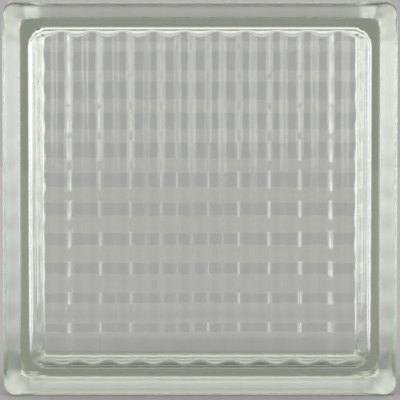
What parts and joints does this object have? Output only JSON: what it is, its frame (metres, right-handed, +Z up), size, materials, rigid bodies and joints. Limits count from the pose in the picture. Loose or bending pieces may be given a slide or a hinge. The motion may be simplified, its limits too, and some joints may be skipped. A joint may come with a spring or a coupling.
{
  "type": "hollow glass block",
  "caption": "Square hollow glass block, ribbed inside both faces, with a mortar channel all round its edge.",
  "frame": {"origin": "middle of the underside, on the level that the two flanges stand on", "axes": "+Z up, front face (upright ribs behind it) towards -Y, rear face (level ribs behind it) towards +Y, +X to the right seen from the front"},
  "size_m": [0.19, 0.08, 0.19],
  "materials": {
    "glass": "clear pressed soda-lime glass with a faint green tint in its thickness, fire-polished, smooth outside and ribbed inside"
  },
  "bodies": {
    "root": {"front_shell": "glass", "rear_shell": "glass"}
  },
  "joints": []
}
